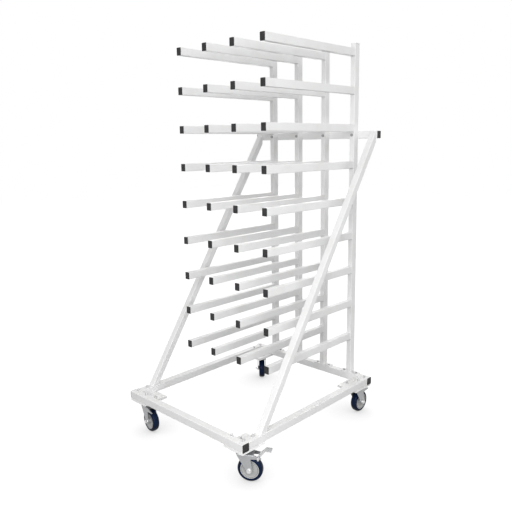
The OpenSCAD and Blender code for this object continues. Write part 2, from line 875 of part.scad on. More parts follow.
module brake_pivot(c) {
    color(zinc) at_caster(c) translate([pedal_pivot_x, fork_w / 2, pedal_pivot_z]) rotate([90, 0, 0]) {
        cylinder(d = pivot_d, h = fork_w, $fn = fine);
        translate([0, 0, -pivot_head_t]) cylinder(d = pivot_head_d, h = pivot_head_t, $fn = coarse);
        translate([0, 0, fork_w]) cylinder(d = pivot_head_d, h = pivot_head_t, $fn = coarse);
    }
}

module brake_pivot_fr() { brake_pivot(FR); }
module brake_pivot_rl() { brake_pivot(RL); }

base_front_tube();
base_rear_tube();
base_left_tube();
base_right_tube();
base_tube_plugs();
corner_plates();
upright_1();
upright_2();
upright_3();
upright_4();
upright_foot_plates();
upright_top_caps();
arms_1();
arms_2();
arms_3();
arms_4();
arm_plugs();
crossbar();
crossbar_plugs();
left_brace();
right_brace();
brace_end_plates();
upright_foot_bolts();
upright_foot_inserts();
crossbar_bolts();
crossbar_nuts();
brace_bolts();
caster_bolts();
caster_nuts();
caster_plate_fr();
caster_plate_fl();
caster_plate_rr();
caster_plate_rl();
caster_balls();
kingpins();
fork_fr();
fork_fl();
fork_rr();
fork_rl();
axle_fr();
axle_fl();
axle_rr();
axle_rl();
axle_nut_fr();
axle_nut_fl();
axle_nut_rr();
axle_nut_rl();
wheel_core_fr();
wheel_core_fl();
wheel_core_rr();
wheel_core_rl();
tyre_fr();
tyre_fl();
tyre_rr();
tyre_rl();
brake_pedal_fr();
brake_pedal_rl();
brake_pivot_fr();
brake_pivot_rl();
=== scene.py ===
"""Dresses a wheeled rack for rolls of film: powder-coated tubes with weld beads,
black end plugs, zinc-plated swivel casters with navy treads, and bright
fasteners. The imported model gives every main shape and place."""

import json
import math

import bmesh
import bpy
from bpy.props import FloatProperty, FloatVectorProperty, IntProperty, PointerProperty
from mathutils import Matrix, Vector


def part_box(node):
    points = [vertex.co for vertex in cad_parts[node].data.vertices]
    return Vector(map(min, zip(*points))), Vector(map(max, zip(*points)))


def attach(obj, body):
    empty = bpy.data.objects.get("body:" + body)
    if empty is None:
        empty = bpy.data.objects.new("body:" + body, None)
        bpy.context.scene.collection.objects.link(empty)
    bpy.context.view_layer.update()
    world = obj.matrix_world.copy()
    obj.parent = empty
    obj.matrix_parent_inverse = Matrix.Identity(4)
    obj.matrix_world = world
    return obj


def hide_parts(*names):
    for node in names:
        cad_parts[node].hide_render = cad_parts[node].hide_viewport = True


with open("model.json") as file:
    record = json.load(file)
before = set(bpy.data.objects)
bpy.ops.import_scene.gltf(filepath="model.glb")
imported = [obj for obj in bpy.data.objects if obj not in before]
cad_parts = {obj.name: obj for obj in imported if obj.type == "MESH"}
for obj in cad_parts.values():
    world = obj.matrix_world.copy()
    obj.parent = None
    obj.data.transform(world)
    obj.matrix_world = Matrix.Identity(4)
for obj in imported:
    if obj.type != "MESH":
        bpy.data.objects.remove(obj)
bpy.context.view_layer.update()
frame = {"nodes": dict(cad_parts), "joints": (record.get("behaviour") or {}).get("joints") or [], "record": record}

bl_info = {
    "name": "Roll rack dresser",
    "version": (1, 0, 0),
    "blender": (4, 5, 0),
    "location": "3D View > Sidebar > Roll Rack",
    "description": "Coats, welds and lights a wheeled rack for rolls of film",
    "category": "Object",
}

NODES = frame["nodes"]
CORNERS = ("fr", "fl", "rr", "rl")
BRAKED = ("fr", "rl")
COLUMNS = (1, 2, 3, 4)

# Weld beads
RIPPLE_DEPTH = 0.16  # share of the bead's radius
BEAD_SWELL = 0.9     # scale of the bead without its ripples
BEAD_STEP = 0.3      # length of a bead's segments, in ripples
BEAD_SIDES = 7
BEAD_SEED = 7
LOOP_STEPS = 4       # segments round a tube's corner

# The bead along a corner plate's inner edges, in metres
PLATE_ACROSS = 0.082  # along the front or rear tube
PLATE_ALONG = 0.1     # along the side tube
PLATE_CUT = 0.012     # slanting over the corner between the two

# Threads, in pitches
RIDGE = 0.36         # radius of the ridge
THREAD_START = 0.4   # how far the first turn starts up the tail
HELIX_STEPS = 20
RIDGE_SIDES = 4

# Section of a tyre, in metres
TYRE_LIP = ((0.0, 0.0009), (0.0004, 0.0003), (0.0012, 0.0002), (0.0022, 0.0))  # out from core, in from side
CROWN_DROP = 0.0004                               # from the parting line to the tread
PARTING_LINE = ((0.0001, 0.0012), (0.0, 0.0003))  # drop and half width
SHOULDER_STEPS = 8

# Rings on a wheel core, in metres. A rise is measured out of the core's face.
RING_ROOT = 0.001    # how deep both rings stand in the core
LIP_GAP = 0.0001     # between lip and tyre
LIP_EDGE = 0.0004    # rise of the lip's outer edge
LIP_RISE = 0.0007
LIP_FOOT = 0.0002    # rise of the lip's inner edge
LIP_BEVEL = 0.0006
# The ring inside the lip is painted shade for the groove between lip and dish
SHADE_RING_GAP = 0.0002    # between lip and the ring of painted shade
SHADE_RING_WIDTH = 0.0011
SHADE_RING_RISE = 0.00015

# Grip ribs of a pedal in the caster's own space, in metres
RIB_STARTS = (0.118, 0.124, 0.130, 0.136)
RIB_WIDTH = 0.0022
RIB_HALF_LENGTH = 0.016
RIB_SINK = 0.0006
RIB_RISE = 0.0008
RIB_BEVEL = 0.0005

# Studio, in metres
FLOOR_HALF = 14.0
FLOOR_DROP = 0.0005  # keeps the floor clear of the treads
PALE_FLOOR = 0.9     # lightness of the part of the floor that takes the lamps' light
PALE_SHARE = 0.12    # that part's share of what the camera sees
OPEN_GLOW = 1.16     # glow of the floor where nothing shades it
SHADE_SAMPLES = 16
LAMPS = (  # name, setting of its power, width, place, target
    ("key_high", "key_power", 1.4, (2.5, -2.3, 2.8), (0.1, -0.2, 1.0)),
    ("front_right", "front_power", 1.4, (1.6, -3.0, 1.4), (0.1, -0.2, 1.0)),
    ("rear_right", "rear_power", 1.4, (3.0, 1.2, 2.6), (0.2, 0.0, 1.2)),
    ("side_right", "side_power", 1.4, (3.4, -1.2, 0.9), (0.2, -0.1, 1.0)),
    ("rear_left", "back_power", 1.6, (-2.4, 2.8, 2.2), (0.0, 0.2, 1.1)),
    ("low_right", "low_power", 1.0, (2.0, -1.4, 0.7), (0.4, -0.5, 0.4)),
)
SENSOR_WIDTH = 36.0  # in millimetres
LENS_SHIFT = (-0.0129, -0.0024)
CLIP = (0.05, 100.0)

# Places of a material's mask and skin nodes
MASKS, SKIN = (-600, 200), (-600, -300)


# Node helpers

def feed(tree, value, socket):
    """Links a socket to an input, or sets the input to a number or a colour."""
    if isinstance(value, bpy.types.NodeSocket):
        tree.links.new(value, socket)
    elif socket.type == "RGBA":
        socket.default_value = tuple(value)[:3] + (1.0,)
    else:
        socket.default_value = value


def add_node(tree, kind, place, **inputs):
    """A node at a place in its tree, with the named inputs fed."""
    n = tree.nodes.new(kind)
    n.location = place
    for name, value in inputs.items():
        feed(tree, value, n.inputs[name.replace("_", " ")])
    return n


def math_node(tree, operation, place, a, b=None):
    """A Math node. Each of a and b is a socket or a number."""
    n = add_node(tree, "ShaderNodeMath", place)
    n.operation = operation
    feed(tree, a, n.inputs[0])
    if b is not None:
        feed(tree, b, n.inputs[1])
    return n.outputs[0]


def mix_colour(tree, place, fac, a, b):
    """A colour mix. fac is a socket or a number, a and b sockets or colours."""
    n = add_node(tree, "ShaderNodeMix", place)
    n.data_type = "RGBA"
    feed(tree, fac, n.inputs[0])
    feed(tree, a, n.inputs[6])
    feed(tree, b, n.inputs[7])
    return n.outputs[2]


def mix_shader(tree, place, fac, a, b):
    """A mix of two shader nodes. fac is a socket or a number."""
    n = add_node(tree, "ShaderNodeMixShader", place)
    for k, value in enumerate((fac, a.outputs[0], b.outputs[0])):
        feed(tree, value, n.inputs[k])
    return n


def map_range(tree, place, value, span, to):
    """A clamped Map Range of a socket, from one pair of values to another."""
    n = add_node(tree, "ShaderNodeMapRange", place, Value=value, From_Min=span[0], From_Max=span[1],
                 To_Min=to[0], To_Max=to[1])
    return n.outputs["Result"]


def noise(tree, place, vector, scale, detail, roughness):
    """A Noise Texture's value on a vector socket. Scale is waves per metre."""
    n = add_node(tree, "ShaderNodeTexNoise", place, Vector=vector, Scale=scale, Detail=detail,
                 Roughness=roughness)
    return n.outputs["Fac"]


def new_tree(name, kind, inputs, outputs):
    """An empty node group with named sockets: (name, type), and a default for some."""
    old = bpy.data.node_groups.get(name)
    if old:
        bpy.data.node_groups.remove(old)
    g = bpy.data.node_groups.new(name, kind)
    for in_out, sockets in (("INPUT", inputs), ("OUTPUT", outputs)):
        for label, socket_type, *default in sockets:
            made = g.interface.new_socket(name=label, in_out=in_out, socket_type=socket_type)
            if default:
                made.default_value = default[0]
    return g, add_node(g, "NodeGroupInput", (-1000, 0)), add_node(g, "NodeGroupOutput", (1000, 0))


def shader_group(name, scales, outputs):
    """An empty shader group with a vector, scales with their defaults, and values to put out."""
    inputs = [("Vector", "NodeSocketVector")]
    inputs += [(label, "NodeSocketFloat", default) for label, default in scales]
    return new_tree(name, "ShaderNodeTree", inputs, [(label, "NodeSocketFloat") for label in outputs])


def coat_skin_group():
    """Orange peel of a powder coat: fine pebbles over slow waves."""
    g, first, last = shader_group("Coat skin", (("Pebble", 700.0), ("Wave", 120.0)), ("Height",))
    given = first.outputs
    pebble = noise(g, (-500, 150), given["Vector"], given["Pebble"], 3.0, 0.55)
    wave = noise(g, (-500, -150), given["Vector"], given["Wave"], 1.0, 0.4)
    fine = math_node(g, "MULTIPLY", (-200, 150), pebble, 0.6)
    slow = math_node(g, "MULTIPLY", (-200, -150), wave, 0.8)
    feed(g, math_node(g, "ADD", (100, 0), fine, slow), last.inputs["Height"])


def handling_group():
    """Masks of use: cloudy soiling, and dust settled on what faces upwards."""
    g, first, last = shader_group("Handling marks", (("Cloud", 9.0), ("Speckle", 260.0)), ("Soil", "Dust"))
    given = first.outputs
    cloud = noise(g, (-500, 250), given["Vector"], given["Cloud"], 4.0, 0.6)
    speck = noise(g, (-500, -50), given["Vector"], given["Speckle"], 2.0, 0.6)
    feed(g, map_range(g, (-200, 250), cloud, (0.42, 0.7), (0.0, 1.0)), last.inputs["Soil"])
    geometry = add_node(g, "ShaderNodeNewGeometry", (-700, -300))
    split = add_node(g, "ShaderNodeSeparateXYZ", (-500, -300), Vector=geometry.outputs["Normal"])
    up = map_range(g, (-200, -300), split.outputs["Z"], (0.5, 0.95), (0.0, 1.0))
    grains = map_range(g, (-200, -50), speck, (0.35, 0.75), (0.3, 1.0))
    feed(g, math_node(g, "MULTIPLY", (100, -150), up, grains), last.inputs["Dust"])


def plating_group():
    """Zinc plating: drawn lines along the sheet, and pale cloudy spangle."""
    g, first, last = shader_group("Zinc plating", (("Spangle", 220.0), ("Line", 900.0)), ("Tone", "Height"))
    given = first.outputs
    cells = add_node(g, "ShaderNodeTexVoronoi", (-500, 250), Vector=given["Vector"],
                     Scale=given["Spangle"], Randomness=1.0)
    cloud = noise(g, (-500, 0), given["Vector"], 45.0, 3.0, 0.6)
    stretch = add_node(g, "ShaderNodeMapping", (-700, -250), Vector=given["Vector"], Scale=(0.06, 0.06, 1.0))
    lines = noise(g, (-500, -250), stretch.outputs[0], given["Line"], 3.0, 0.65)
    grey = add_node(g, "ShaderNodeRGBToBW", (-300, 250), Color=cells.outputs["Color"])
    spangle = math_node(g, "MULTIPLY", (-200, 250), grey.outputs[0], 0.45)
    haze = math_node(g, "MULTIPLY", (-200, 50), cloud, 0.55)
    feed(g, math_node(g, "ADD", (-50, 150), spangle, haze), last.inputs["Tone"])
    feed(g, lines, last.inputs["Height"])


def use_group(tree, name, place, **inputs):
    """The outputs of a shared group that is placed and fed in a material."""
    n = add_node(tree, "ShaderNodeGroup", place)
    n.node_tree = bpy.data.node_groups[name]
    for label, value in inputs.items():
        feed(tree, value, n.inputs[label])
    return n.outputs


def clear_nodes(owner):
    """The node tree of a material or world, turned on and emptied."""
    owner.use_nodes = True
    owner.node_tree.nodes.clear()
    return owner.node_tree


def new_material(name, roughness, metallic=0.0, **shader):
    """A material's tree, its Principled shader to link into, and object coordinates."""
    t = clear_nodes(bpy.data.materials.new(name))
    bsdf = add_node(t, "ShaderNodeBsdfPrincipled", (400, 0), Roughness=roughness, Metallic=metallic, **shader)
    add_node(t, "ShaderNodeOutputMaterial", (700, 0), Surface=bsdf.outputs[0])
    return t, bsdf, add_node(t, "ShaderNodeTexCoord", (-1000, 0)).outputs["Object"]


def surface(tree, bsdf, colour, mask, roughness, span=(0.0, 1.0)):
    """Links in a colour, and a roughness that goes from one value to the other over a mask's span."""
    feed(tree, colour, bsdf.inputs["Base Color"])
    feed(tree, map_range(tree, (0, -50), mask, span, roughness), bsdf.inputs["Roughness"])


def bump(tree, bsdf, height, strength, distance):
    """Feeds a height to the shader's normal through a Bump node."""
    n = add_node(tree, "ShaderNodeBump", (150, -300), Strength=strength, Distance=distance, Height=height)
    feed(tree, n.outputs[0], bsdf.inputs["Normal"])


def tint(colour, factors, lift=0.0, top=1.0):
    """A colour scaled by one number or channel by channel, lifted, and held under a top."""
    if isinstance(factors, float):
        factors = (factors,) * 3
    return tuple(min(top, c * f + lift) for c, f in zip(colour, factors))


def dress(node, material):
    """Gives a CAD node or a new piece its one material."""
    mesh = node.data
    mesh.materials.clear()
    mesh.materials.append(material)


# Finishes

def powder_coat(name, colour, s):
    """Satin white powder coat, with orange peel, faint soiling and dust."""
    t, bsdf, where = new_material(name, s.roughness)
    marks = use_group(t, "Handling marks", MASKS, Vector=where)
    skin = use_group(t, "Coat skin", SKIN, Vector=where)
    soiled = mix_colour(t, (-250, 250), marks["Soil"], colour, tint(colour, (0.955, 0.952, 0.94)))
    dust = math_node(t, "MULTIPLY", (-250, 50), marks["Dust"], s.dust)
    dusty = mix_colour(t, (0, 200), dust, soiled, tint(colour, (0.93, 0.92, 0.9)))
    surface(t, bsdf, dusty, marks["Soil"], (s.roughness - 0.03, s.roughness + 0.08))
    bump(t, bsdf, skin["Height"], 0.3, s.peel_depth)


def white_coat(s):
    """The coat of the tubes and welds, and a lighter copy of it on the corner plates that paints light over their
    shade.
    """
    powder_coat("White powder coat", s.colour, s)
    # Painted light: the corner plates' coat is lighter so that the shade on their tops hardly shows
    powder_coat("Fresh powder coat", s.lightened_colour, s)


def black_plug(s):
    """Moulded black plastic with a fine spark-eroded grain."""
    t, bsdf, where = new_material("Black moulded plug", 0.55, Specular_IOR_Level=0.3)
    marks = use_group(t, "Handling marks", MASKS, Vector=where, Cloud=40.0)
    grain = noise(t, SKIN, where, 1600.0, 3.0, 0.6)
    rubbed = mix_colour(t, (0, 200), marks["Soil"], s.plug_colour, tint(s.plug_colour, 1.6, 0.006))
    surface(t, bsdf, rubbed, grain, (0.46, 0.62), (0.3, 0.7))
    bump(t, bsdf, grain, 0.35, 0.0001)


def plated_sheet(name, colour):
    """Pressed sheet with a bright passivated zinc plating."""
    t, bsdf, where = new_material(name, 0.4, 0.75)
    plate = use_group(t, "Zinc plating", (-600, 0), Vector=where)
    clouded = mix_colour(t, (0, 200), plate["Tone"], tint(colour, (0.82, 0.82, 0.83)), colour)
    surface(t, bsdf, clouded, plate["Tone"], (0.48, 0.34), (0.25, 0.75))
    bump(t, bsdf, plate["Height"], 0.2, 0.00008)


def zinc_sheet(s):
    """The casters' forks, plates and races."""
    plated_sheet("Zinc plated pressing", s.zinc_colour)


def pedal_sheet(s):
    """The brake pedals, in a lighter copy of the casters' zinc."""
    plated_sheet("Zinc plated pedal", s.pedal_colour)


def plated_fastener(name, colour):
    """Machined and plated steel: turning marks and small dark nicks."""
    t, bsdf, where = new_material(name, 0.3, 0.9)
    plate = use_group(t, "Zinc plating", (-600, 0), Vector=where, Spangle=500.0, Line=2600.0)
    nicked = mix_colour(t, (0, 200), plate["Tone"], tint(colour, 0.72), colour)
    surface(t, bsdf, nicked, plate["Height"], (0.22, 0.38), (0.3, 0.7))
    bump(t, bsdf, plate["Height"], 0.3, 0.00005)


def bright_fastener(s):
    """The axles, pins and balls, kept bright by their turning."""
    plated_fastener("Bright plated fastener", s.fastener_colour)


def shaded_fastener(s):
    """The bolts and nuts of the frame, darkened as painted shade for the shadows and dark reflections round them.
    """
    # Painted shade: the frame's bolts are far darker than the bright fasteners so that they show as dark marks
    plated_fastener("Dulled plated fastener", s.bolt_colour)


def grey_core(s):
    """Light grey moulded wheel core, faintly flow-marked."""
    t, bsdf, where = new_material("Light grey wheel core", 0.42)
    marks = use_group(t, "Handling marks", MASKS, Vector=where, Cloud=30.0, Speckle=700.0)
    skin = use_group(t, "Coat skin", SKIN, Vector=where, Pebble=1500.0, Wave=90.0)
    dull = mix_colour(t, (0, 200), marks["Soil"], s.core_colour, tint(s.core_colour, (0.84, 0.84, 0.82)))
    surface(t, bsdf, dull, marks["Soil"], (0.36, 0.5))
    bump(t, bsdf, skin["Height"], 0.25, 0.00008)


def core_lip(s):
    """The lip of the core, in a lighter copy of the core's colour that paints on the highlight of its edge."""
    t, bsdf, where = new_material("Polished core lip", 0.26)
    marks = use_group(t, "Handling marks", MASKS, Vector=where, Cloud=40.0, Speckle=800.0)
    # Painted highlight: the core's colour raised 1.36 times stands for the light caught by the lip
    bright = tint(s.core_colour, 1.36, top=0.9)
    surface(t, bsdf, mix_colour(t, (0, 200), marks["Soil"], bright, tint(bright, 0.86)),
            marks["Soil"], (0.22, 0.4))


def rim_painted_shade(s):
    """A dark ring of painted shade in the groove between lip and dish, varied by a random cloud."""
    t, bsdf, where = new_material("Rolled-in dirt", 0.85, Specular_IOR_Level=0.2)
    marks = use_group(t, "Handling marks", MASKS, Vector=where, Cloud=90.0, Speckle=1200.0)
    skin = use_group(t, "Coat skin", SKIN, Vector=where, Pebble=2200.0, Wave=120.0)
    # Painted shade: the core's colour at 0.3 times stands for the shade in the groove
    dark = tint(s.core_colour, 0.3)
    feed(t, mix_colour(t, (0, 200), marks["Soil"], dark, tint(dark, 1.5)), bsdf.inputs["Base Color"])
    bump(t, bsdf, skin["Height"], 0.4, 0.0001)


def navy_tread(s):
    """Navy elastic tread, dulled where it has rolled, with a painted highlight: paler where it faces the camera
    and deeper in colour towards its edges.
    """
    t, bsdf, where = new_material("Navy elastic tread", 0.26, Specular_IOR_Level=0.07)
    marks = use_group(t, "Handling marks", MASKS, Vector=where, Cloud=60.0, Speckle=900.0)
    grain = noise(t, SKIN, where, 900.0, 4.0, 0.6)
    # Painted highlight: where the tread faces the camera its colour is raised 2.3 times, as a sheen of light
    angle = add_node(t, "ShaderNodeLayerWeight", (-400, 500), Blend=0.5)
    turned = map_range(t, (-200, 500), angle.outputs["Facing"], (0.12, 0.6), (0.0, 1.0))
    navy = mix_colour(t, (0, 350), turned, tint(s.tread_colour, 2.3), s.tread_colour)
    wear = math_node(t, "MULTIPLY", (50, 150), marks["Soil"], 0.5)
    worn = mix_colour(t, (200, 200), wear, navy, tint(s.tread_colour, 1.6, 0.003))
    surface(t, bsdf, worn, marks["Soil"], (0.22, 0.4))
    bump(t, bsdf, grain, 0.25, 0.0001)


TRIM_FINISHES = (black_plug, zinc_sheet, pedal_sheet, bright_fastener, shaded_fastener,
                 grey_core, core_lip, rim_painted_shade, navy_tread)
FINISH_OF_SLOT = {
    "white_coat": "White powder coat",
    "black_plastic": "Black moulded plug",
    "zinc_pressing": "Zinc plated pressing",
    "bright_fastener": "Bright plated fastener",
    "grey_core": "Light grey wheel core",
    "blue_tread": "Navy elastic tread",
}
# The frame's bolts and nuts take the darkened fastener, a painted shade
FINISH_OF_NODE = {name: "Dulled plated fastener" for name in (
    "upright_foot_bolts", "crossbar_bolts", "crossbar_nuts", "brace_bolts")}
# The corner plates take the lightened coat, a painted light over their shade
FINISH_OF_NODE["corner_plates"] = "Fresh powder coat"
FINISH_OF_NODE.update({"brake_pedal_" + corner: "Zinc plated pedal" for corner in BRAKED})


# Geometry helpers

def geometry_tree(name, inputs):
    """An empty Geometry Nodes tree with named inputs and a material to set."""
    geometry = ("Geometry", "NodeSocketGeometry")
    inputs = [geometry] + inputs + [("Material", "NodeSocketMaterial")]
    return new_tree(name, "GeometryNodeTree", inputs, [geometry])


def close_tree(g, geometry, first, last):
    """Ends a tree in Realize Instances, smooth shading and Set Material."""
    for k, kind in enumerate(("GeometryNodeRealizeInstances", "GeometryNodeSetShadeSmooth",
                              "GeometryNodeSetMaterial")):
        n = add_node(g, kind, (400 + 200 * k, 0))
        feed(g, geometry, n.inputs[0])
        geometry = n.outputs[0]
    feed(g, first.outputs["Material"], n.inputs["Material"])
    feed(g, geometry, last.inputs[0])


def grow(name, mesh, tree, values, material, body):
    """Runs a tree on a mesh and keeps the result as a plain piece on a body."""
    carrier = bpy.data.objects.new(name + "_seed", mesh)
    bpy.context.scene.collection.objects.link(carrier)
    mod = carrier.modifiers.new("Grow", "NODES")
    mod.node_group = tree
    sockets = {s.name: s.identifier for s in tree.interface.items_tree
               if s.item_type == "SOCKET" and s.in_out == "INPUT"}
    for label, value in values.items():
        mod[sockets[label]] = value
    mod[sockets["Material"]] = material
    graph = bpy.context.evaluated_depsgraph_get()
    made = bpy.data.meshes.new_from_object(carrier.evaluated_get(graph), depsgraph=graph)
    bpy.data.objects.remove(carrier)
    if not made.polygons:
        raise RuntimeError(name + " came out empty")
    add_piece(name, made, material, body)


def add_piece(name, mesh, material, body):
    """Links a finished mesh as a piece, on its body and with its material."""
    mesh.name = name
    piece = bpy.data.objects.new(name, mesh)
    bpy.context.scene.collection.objects.link(piece)
    dress(piece, material)
    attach(piece, body)
    return piece


def smooth_mesh(bm, name, matrix):
    """A smooth mesh from a bmesh, which is freed, moved by a matrix."""
    mesh = bpy.data.meshes.new(name)
    bm.to_mesh(mesh)
    bm.free()
    mesh.transform(matrix)
    for p in mesh.polygons:
        p.use_smooth = True
    return mesh


def rounded_loop(a, b, r):
    """Points round a rectangle of a by b with corner radius r, centred."""
    points = []
    for k, (sx, sy) in enumerate(((1, 1), (-1, 1), (-1, -1), (1, -1))):
        for j in range(LOOP_STEPS + 1):
            t = math.radians(90 * (k + j / LOOP_STEPS))
            points.append((sx * (a / 2 - r) + r * math.cos(t), sy * (b / 2 - r) + r * math.sin(t)))
    return points


# Settings

class RackCoat(bpy.types.PropertyGroup):
    colour: FloatVectorProperty(
        name="Coat colour", description="Colour of the powder coat on the tubes",
        subtype="COLOR", size=3, min=0, max=1, default=(0.865, 0.864, 0.868))
    # Painted light: a lighter coat colour that paints out the shade on the corner plates
    lightened_colour: FloatVectorProperty(
        name="Lightened coat", description="Colour of the corner plates' coat, lightened as painted light over their shade",
        subtype="COLOR", size=3, min=0, max=1, default=(0.97, 0.97, 0.972))
    roughness: FloatProperty(
        name="Coat roughness", description="Sheen of the coat, lower is glossier",
        default=0.36, min=0.05, max=1, subtype="FACTOR")
    peel_depth: FloatProperty(
        name="Orange peel depth", description="Depth of the coat's pebbled skin",
        default=0.00012, min=0, max=0.002, unit="LENGTH", precision=5)
    dust: FloatProperty(
        name="Dust", description="How much dust lies on upward faces",
        default=0.5, min=0, max=1, subtype="FACTOR")


class RackTrim(bpy.types.PropertyGroup):
    plug_colour: FloatVectorProperty(
        name="Plug colour", description="Colour of the plugs in the tube ends",
        subtype="COLOR", size=3, min=0, max=1, default=(0.018, 0.018, 0.019))
    zinc_colour: FloatVectorProperty(
        name="Zinc colour", description="Colour of the casters' plated sheet",
        subtype="COLOR", size=3, min=0, max=1, default=(0.42, 0.426, 0.432))
    pedal_colour: FloatVectorProperty(
        name="Pedal colour", description="Colour of the brake pedals' plated sheet",
        subtype="COLOR", size=3, min=0, max=1, default=(0.66, 0.665, 0.67))
    fastener_colour: FloatVectorProperty(
        name="Fastener colour", description="Colour of axles, pins and balls",
        subtype="COLOR", size=3, min=0, max=1, default=(0.78, 0.78, 0.785))
    # Painted shade: darkened so the bolts read as dark marks of shadow and reflection
    bolt_colour: FloatVectorProperty(
        name="Bolt colour", description="Colour of the frame's bolts and nuts, darkened as painted shade",
        subtype="COLOR", size=3, min=0, max=1, default=(0.42, 0.42, 0.425))
    core_colour: FloatVectorProperty(
        name="Core colour", description="Colour of the wheel cores",
        subtype="COLOR", size=3, min=0, max=1, default=(0.45, 0.455, 0.456))
    tread_colour: FloatVectorProperty(
        name="Tread colour", description="Colour of the wheels' treads",
        subtype="COLOR", size=3, min=0, max=1, default=(0.0024, 0.0064, 0.0205))


class RackWelds(bpy.types.PropertyGroup):
    radius: FloatProperty(
        name="Bead radius", description="Half the width of a weld bead",
        default=0.0019, min=0.0005, max=0.01, unit="LENGTH", precision=4)
    ripple: FloatProperty(
        name="Ripple spacing", description="Distance between a bead's ripples",
        default=0.0042, min=0.001, max=0.02, unit="LENGTH", precision=4)
    arm_rows: IntProperty(
        name="Arm rows", description="Arms on one upright", default=9, min=2, max=9)
    arm_height: FloatProperty(
        name="Arm height", description="Outside height of an arm",
        default=0.04, min=0.01, max=0.1, unit="LENGTH")
    corner_radius: FloatProperty(
        name="Tube corner radius", description="Outside corner radius of the tubes",
        default=0.003, min=0.0005, max=0.02, unit="LENGTH", precision=4)


class RackThreads(bpy.types.PropertyGroup):
    pitch: FloatProperty(
        name="Thread pitch", description="Rise of one turn of a bolt's thread",
        default=0.00125, min=0.0005, max=0.005, unit="LENGTH", precision=5)
    bolt_radius: FloatProperty(
        name="Bolt radius", description="Half the bolts' diameter",
        default=0.004, min=0.001, max=0.02, unit="LENGTH", precision=4)
    tail: FloatProperty(
        name="Bolt tail", description="Length of thread that stands out of a nut",
        default=0.005, min=0.001, max=0.03, unit="LENGTH", precision=4)


class RackWheels(bpy.types.PropertyGroup):
    tread_width: FloatProperty(
        name="Tread width", description="Width of the tyres",
        default=0.038, min=0.034, max=0.04, unit="LENGTH", precision=4)
    tyre_thickness: FloatProperty(
        name="Tyre thickness", description="From the core to the tread",
        default=0.0165, min=0.014, max=0.018, unit="LENGTH", precision=4)
    shoulder: FloatProperty(
        name="Shoulder", description="Radius that rounds the tread into the tyre's sides",
        default=0.0115, min=0.004, max=0.014, unit="LENGTH", precision=4)
    core_width: FloatProperty(
        name="Core width", description="Width of the core's rim",
        default=0.034, min=0.03, max=0.036, unit="LENGTH", precision=4)
    # The lip is the ring that carries the painted highlight of the core's edge
    lip: FloatProperty(
        name="Rim lip", description="Width of the ring at the core's edge that carries a painted highlight",
        default=0.0038, min=0.001, max=0.0045, unit="LENGTH", precision=4)
    turns: IntProperty(
        name="Segments", description="Faces round a wheel", default=112, min=24, max=256)


class RackStudio(bpy.types.PropertyGroup):
    lens: FloatProperty(
        name="Lens", description="Focal length on a 36 mm wide sensor",
        default=40.524, min=5, max=300)
    camera_place: FloatVectorProperty(
        name="Camera place", description="Where the camera stands",
        subtype="TRANSLATION", unit="LENGTH", size=3, default=(2.17924, -2.24883, 1.578))
    heading: FloatProperty(
        name="Heading", description="Camera's turn to the left from +Y",
        default=math.radians(43.46), subtype="ANGLE")
    tilt: FloatProperty(
        name="Tilt", description="Camera's tilt above the horizon",
        default=math.radians(-10.89), subtype="ANGLE")
    roll: FloatProperty(
        name="Roll", description="Camera's roll", default=math.radians(-0.75), subtype="ANGLE")
    key_power: FloatProperty(
        name="Key light", description="Power of the high light over the camera's right",
        default=39.0, min=0, max=5000, unit="POWER")
    front_power: FloatProperty(
        name="Front light", description="Power of the light at the camera's height",
        default=30.0, min=0, max=5000, unit="POWER")
    rear_power: FloatProperty(
        name="Rear light", description="Power of the high light behind the right side",
        default=10.0, min=0, max=5000, unit="POWER")
    side_power: FloatProperty(
        name="Side light", description="Power of the low light on the right side",
        default=3.0, min=0, max=5000, unit="POWER")
    back_power: FloatProperty(
        name="Back light", description="Power of the light behind the left side",
        default=22.0, min=0, max=5000, unit="POWER")
    low_power: FloatProperty(
        name="Low light", description="Power of the small light near the front wheel",
        default=8.0, min=0, max=5000, unit="POWER")
    room_level: FloatProperty(
        name="Room level", description="Brightness of the room's even light",
        default=0.645, min=0, max=2)
    shadow_reach: FloatProperty(
        name="Shadow reach", description="How far the soft shadow on the floor spreads",
        default=0.3, min=0, unit="LENGTH")
    shadow_depth: FloatProperty(
        name="Shadow depth", description="How dark the floor gets under the wheels",
        default=0.5, min=0, max=1)
    floor_level: FloatProperty(
        name="Floor level", description="Lightness of the floor as the rack sees it",
        default=0.1, min=0, max=1)


# Operators

class RACK_OT_finishes(bpy.types.Operator):
    """Builds the finishes and puts each on the CAD nodes of its slot"""
    bl_idname = "rack.finishes"
    bl_label = "Apply finishes"

    def execute(self, context):
        coat_skin_group()
        handling_group()
        plating_group()
        white_coat(context.scene.rack_coat)
        for make in TRIM_FINISHES:
            make(context.scene.rack_trim)
        slots = {s["node"]: s["material_slot"] for s in frame["record"]["subparts"]}
        for name, node in NODES.items():
            dress(node, bpy.data.materials[FINISH_OF_NODE.get(name, FINISH_OF_SLOT[slots[name]])])
        return {"FINISHED"}


